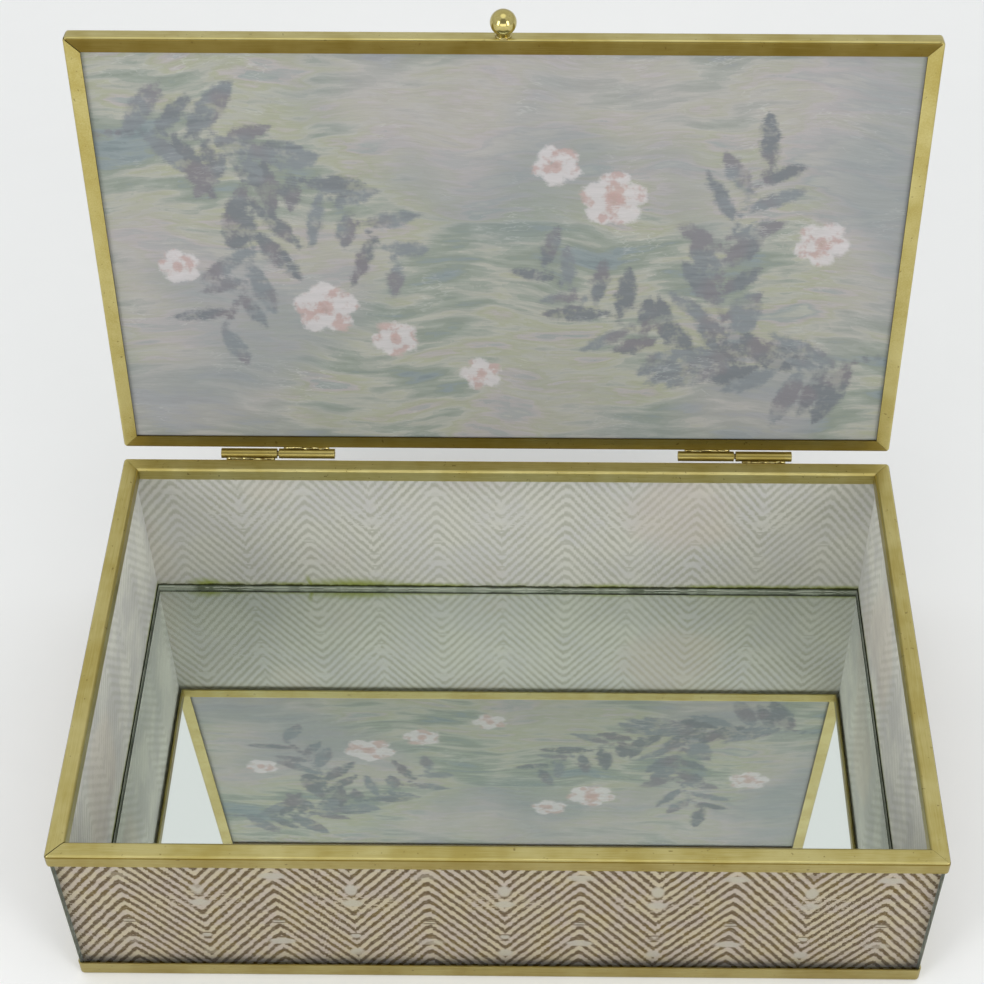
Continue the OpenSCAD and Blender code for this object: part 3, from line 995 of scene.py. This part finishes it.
def paintGround(local):
    # hazy ground in level brush strokes: one slow pattern chooses the coat, quicker ones break it up
    spec = paintSpec
    drift = add("ShaderNodeTexNoise", {"Vector": local, "Scale": spec["drift"], "Detail": 2.0})
    swayed = add("ShaderNodeVectorMath", {0: drift.outputs["Color"], 1: spec["driftBy"], 2: local},
                 operation="MULTIPLY_ADD").outputs[0]
    strokes = timesPlus(noise(local, *spec["ends"]), spec["endShare"], noise(swayed, *spec["strokes"]))
    laid = calc("SNAP", strokes, spec["laid"])
    strokes = plus(times(strokes, spec["looseShare"]), times(laid, spec["laidShare"]))
    fine = noise(swayed, *spec["fine"])
    pick = timesPlus(minus(strokes, 0.5), spec["strokePick"], noise(swayed, *spec["broad"]))
    pick = timesPlus(minus(fine, 0.5), spec["finePick"], pick)
    pick = calc("DIVIDE", minus(pick, spec["pickFrom"]), spec["pickSpan"])
    ramp = add("ShaderNodeValToRGB", {"Fac": pick})
    steps = ramp.color_ramp.elements
    steps.remove(steps[1])
    for i, colour in enumerate(spec["coats"]):
        share = i / (len(spec["coats"]) - 1)
        step = steps[0] if i == 0 else steps.new(share)
        step.position = share
        step.color = colour
    return ramp.outputs["Color"], swayed, strokes, fine


def lidPaintMaterial(name, haze, gloss):
    spec = paintSpec
    material, place = newMaterial(name)
    local = sheetValue("onSheet", "Vector")
    colour, swayed, strokes, fine = paintGround(local)
    colour = mix(patches(swayed, *spec["dusty"]), colour, spec["dust"])
    colour = mix(patches(local, *spec["shady"]), colour, spec["shade"])
    bristle = noise(swayed, *spec["bristle"])
    ragged = plus(times(noise(local, *spec["ragged"]), spec["raggedBy"]), times(bristle, spec["bristleBy"]))
    ragged = minus(ragged, spec["raggedMiddle"])

    def inside(label):
        return eased(plus(sheetValue(label), ragged), *spec[label + "Levels"])

    tone = plus(sheetValue("tone"), times(minus(fine, 0.5), spec["toneBy"]))
    leaf = mix(eased(tone, *spec["toneLevels"]), spec["leafDark"], spec["leafLight"])
    leaf = mix(patches(local, *spec["leafWarms"]), leaf, spec["leafWarm"])
    cover = times(inside("leaf"), patches(local, *spec["leafCover"]))
    colour = mix(cover, colour, leaf)
    petal = mix(patches(local, *spec["blushes"]), spec["petal"], spec["blush"])
    colour = mix(times(inside("petal"), spec["petalShare"]), colour, petal)
    colour = mix(inside("heart"), colour, spec["blush"])
    brushed = plus(times(fine, 0.5), times(bristle, 0.5))
    value = eased(brushed, *spec["valueLevels"])
    lit = add("ShaderNodeHueSaturation", {"Color": colour, "Value": value}).outputs[0]
    thick = minus(noise(swayed, *spec["thick"]), 0.5)
    ridge = eased(calc("ABSOLUTE", thick), *spec["ridgeLevels"])
    raised = patches(local, *spec["ridgePatches"])
    lit = mix(times(ridge, raised), lit, spec["ridge"])
    colour = mix(haze, lit, spec["haze"])
    height = plus(plus(brushed, strokes), times(ridge, spec["ridgeHeight"]))
    bump = relief(height, spec["bump"], spec["bumpDepth"])
    return coat(material, colour, gloss, specular=spec["specular"], normal=bump)


def makeLidPlates():
    glass = paneMaterial("lidGlass", glassSpec["tint"])
    low, high = boxOf(["lid_glass"], shutLid)
    low.z += glassSpec["bondGap"]
    piece = pane("lid_pane", low, high, (0, 0, 1), glass, bondMaterial(), plainMaterial("groundGlassEdge"))
    turnMesh(piece, openLid)
    put(piece, "lid", "lid_glass", "lid_glass")
    low, high = boxOf(["lid_print"], shutLid)
    for name, haze, gloss, down in paintSpec["faces"]:
        sheet = paintedSheet(name, low, high, low.z if down else high.z)
        editing(sheet)
        if down:
            bpy.ops.mesh.select_all(action="SELECT")
            bpy.ops.mesh.flip_normals()
        bpy.ops.object.mode_set(mode="OBJECT")
        thick = sheet.modifiers.new("paper", "SOLIDIFY")
        thick.thickness = paintSpec["thickShare"] * (high.z - low.z)
        thick.offset = -1
        bpy.ops.object.modifier_apply(modifier="paper")
        sheet.data.materials.append(lidPaintMaterial(name + "_paint", haze, gloss))
        turnMesh(sheet, openLid)
        put(sheet, "lid", "lid_paper", "lid_print")
    print("lid: pane and painted sheet")


hingeSpec = {
    "bore": 0.95 * mm, "steps": 40, "edgeRound": 0.12 * mm, "rough": (0.26, 0.38), "shade": 0.68,
    "wireRound": 0.35 * mm, "wireSteps": 28,
    # the solder beads, their sizes as shares of the knuckle's length, depth and height
    "beads": 5, "firstBead": 0.12, "beadRow": 0.76, "wander": 0.6 * mm,
    "beadLong": (0.2, 0.3), "beadDeep": (0.75, 0.95), "beadTall": (0.62, 0.92), "beadSink": 0.55,
    "uneven": 0.14,
}


def roughen(piece, offset, uniform, normal, seed):
    # solder isn't even: its points are moved at random, then smoothed
    bpy.ops.object.mode_set(mode="EDIT")
    bpy.ops.mesh.select_all(action="SELECT")
    bpy.ops.transform.vertex_random(offset=offset, uniform=uniform, normal=normal, seed=seed)
    bpy.ops.mesh.vertices_smooth(factor=0.5, repeat=2)
    bpy.ops.object.mode_set(mode="OBJECT")
    bpy.ops.object.shade_smooth()


def lump(centre, size, seed, material):
    # a solder bead: a ball squeezed to its size and made uneven
    piece = fresh(bpy.ops.mesh.primitive_ico_sphere_add, "bead", subdivisions=3, radius=0.5, location=centre)
    piece.scale = size
    bpy.ops.object.transform_apply(location=False, rotation=False, scale=True)
    roughen(piece, hingeSpec["uneven"] * min(size), 0.3, 0.7, seed)
    applyPlace()
    piece.data.materials.append(material)
    return piece


def joinPieces(pieces, name):
    bpy.ops.object.select_all(action="DESELECT")
    for piece in pieces:
        piece.select_set(True)
    bpy.context.view_layer.objects.active = pieces[0]
    bpy.ops.object.join()
    pieces[0].name = name
    return pieces[0]


def tube(name, low, high, radius, material):
    # a rolled knuckle: a rod whose ends are opened and joined by a bore
    bore = hingeSpec["bore"]
    middle = (low + high) / 2
    piece = rod(name, low, high, radius, hingeSpec["steps"])
    pickFaces(piece, lambda c, n: abs(n.x) > 0.9)
    bpy.ops.mesh.inset(thickness=radius - bore)
    bpy.ops.mesh.delete(type="FACE")
    nearAxis = (radius + bore) / 2
    pickEdges(piece, lambda a, b: same(a.x, b.x) and (a - middle).yz.length < nearAxis
              and (b - middle).yz.length < nearAxis)
    bpy.ops.mesh.bridge_edge_loops()
    finishPiece(piece, hingeSpec["edgeRound"], 50)
    piece.data.materials.append(material)
    return piece


def seedOf(text):
    return sum(ord(letter) * (place + 3) for place, letter in enumerate(text))


def knuckle(node, seed, matrix, up, brass, solder):
    # tube with its row of solder beads, on the side of its own rail
    spec = hingeSpec
    low, high = boxOf([node], matrix)
    start, end = (Vector((x, hingeAxis.y, hingeAxis.z)) for x in (low.x, high.x))
    pieces = [tube(node + "_tube", start, end, high.y - hingeAxis.y, brass)]
    drop = hingeAxis.z - low.z if up < 0 else high.z - hingeAxis.z
    span = high.x - low.x
    rng = np.random.default_rng(seed)
    for i in range(spec["beads"]):
        share = spec["firstBead"] + spec["beadRow"] * (i + 0.5) / spec["beads"]
        x = low.x + span * share + rng.uniform(-1, 1) * spec["wander"]
        tall = drop * rng.uniform(*spec["beadTall"])
        deep = (hingeAxis.y - low.y) * rng.uniform(*spec["beadDeep"])
        long = span * rng.uniform(*spec["beadLong"])
        centre = (x, low.y + deep / 2, hingeAxis.z + up * (drop - tall * spec["beadSink"]))
        pieces.append(lump(centre, (long, deep, tall), int(rng.integers(1, 999)), solder))
    return joinPieces(pieces, node + "_soldered")


def makeHinges():
    spec = hingeSpec
    brass = brassMaterial("brassTube", rough=spec["rough"], shade=spec["shade"])
    solder = plainMaterial("brassSolder")
    wire = plainMaterial("hingeWire")
    for side in ("left", "right"):
        for body, word, matrix, up in (("box", "body", None, -1), ("lid", "lid", shutLid, 1)):
            node = "hinge_" + side + "_" + word + "_knuckle"
            piece = knuckle(node, seedOf(side + body), matrix, up, brass, solder)
            if body == "lid":
                turnMesh(piece, openLid)
            put(piece, body, "brass", node)
        low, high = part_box("hinge_" + side + "_pin")
        middle = (low + high) / 2
        start, end = (Vector((x, middle.y, middle.z)) for x in (low.x, high.x))
        pin = rod("hinge_" + side + "_wire", start, end, (high.y - low.y) / 2, spec["wireSteps"])
        pickEdges(pin, lambda a, b: same(a.x, b.x))
        bpy.ops.mesh.bevel(offset=spec["wireRound"], segments=3, affect="EDGES")
        finishPiece(pin, 0)
        pin.data.materials.append(wire)
        put(pin, "box", "pin_wire", "hinge_" + side + "_pin")
    print("hinges: 4 soldered knuckles and 2 wires")


knobSpec = {
    "ball": 3.985 * mm, "setBack": 0.01 * mm, "neck": 2.0 * mm, "rough": (0.07, 0.14), "lift": 0.35,
    "collar": 2.1 * mm, "collarRound": 0.45 * mm, "collarOut": 0.1 * mm, "uneven": 0.09 * mm,
}


def knobBall(middle, face):
    # a ball opened where its neck starts, and the neck drawn out to the rail's face
    spec = knobSpec
    knob = fresh(bpy.ops.mesh.primitive_uv_sphere_add, "lid_knob_ball", segments=64, ring_count=36,
                 radius=spec["ball"], location=middle, rotation=(math.radians(90), 0, 0))
    applyPlace()
    editing(knob)
    near = middle.y + math.sqrt(spec["ball"] ** 2 - spec["neck"] ** 2)
    pickFaces(knob, lambda c, n: c.y > near)
    bpy.ops.mesh.delete(type="FACE")
    mesh = bmesh.from_edit_mesh(knob.data)
    for edge in mesh.edges:
        edge.select_set(edge.is_boundary)
    bmesh.update_edit_mesh(knob.data)
    start = max(v.co.y for v in mesh.verts if v.select)
    bpy.ops.mesh.extrude_region_move(TRANSFORM_OT_translate={"value": (0, face - start, 0)})
    bpy.ops.mesh.edge_face_add()
    bpy.ops.mesh.select_all(action="SELECT")
    bpy.ops.mesh.normals_make_consistent(inside=False)
    finishPiece(knob, 0, 60)
    knob.data.materials.append(brassMaterial("polishedBrass", rough=spec["rough"], lift=spec["lift"]))
    return knob


def makeKnob():
    spec = knobSpec
    low, high = boxOf(["lid_knob"], shutLid)
    middle = Vector(((low.x + high.x) / 2, low.y + spec["ball"] + spec["setBack"], (low.z + high.z) / 2))
    face = boxOf(["lid_rail_front"], shutLid)[0].y
    knob = knobBall(middle, face)
    turnMesh(knob, openLid)
    put(knob, "lid", "polished_brass", "lid_knob")
    collar = fresh(bpy.ops.mesh.primitive_torus_add, "lid_knob_solder", major_radius=spec["collar"],
                   minor_radius=spec["collarRound"], major_segments=40, minor_segments=12,
                   rotation=(math.radians(90), 0, 0), location=(middle.x, face - spec["collarOut"], middle.z))
    applyPlace()
    roughen(collar, spec["uneven"], 0.4, 0.6, 5)
    collar.data.materials.append(plainMaterial("brassSolder"))
    turnMesh(collar, openLid)
    put(collar, "lid", "brass")
    print("knob: ball, neck and solder")


feltSpec = {"corner": 2.0 * mm, "cornerSteps": 5, "edgeRound": 0.2 * mm}


def makeUnderside():
    felt = block("base_felt_pad", *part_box("base_felt"))
    editing(felt)
    pickEdges(felt, lambda a, b: same(a.x, b.x) and same(a.y, b.y))
    bpy.ops.mesh.bevel(offset=feltSpec["corner"], segments=feltSpec["cornerSteps"], affect="EDGES")
    finishPiece(felt, feltSpec["edgeRound"])
    felt.data.materials.append(plainMaterial("charcoalFelt"))
    put(felt, "box", "felt", "base_felt")
    board = frame["nodes"]["backing_board"]
    board.data.materials.clear()
    board.data.materials.append(plainMaterial("greyBoard"))
    print("underside: felt and board")


makeCamera()
makeStage()
makeFrames()
makeWalls()
makeMirror()
makeLidPlates()
makeHinges()
makeKnob()
makeUnderside()
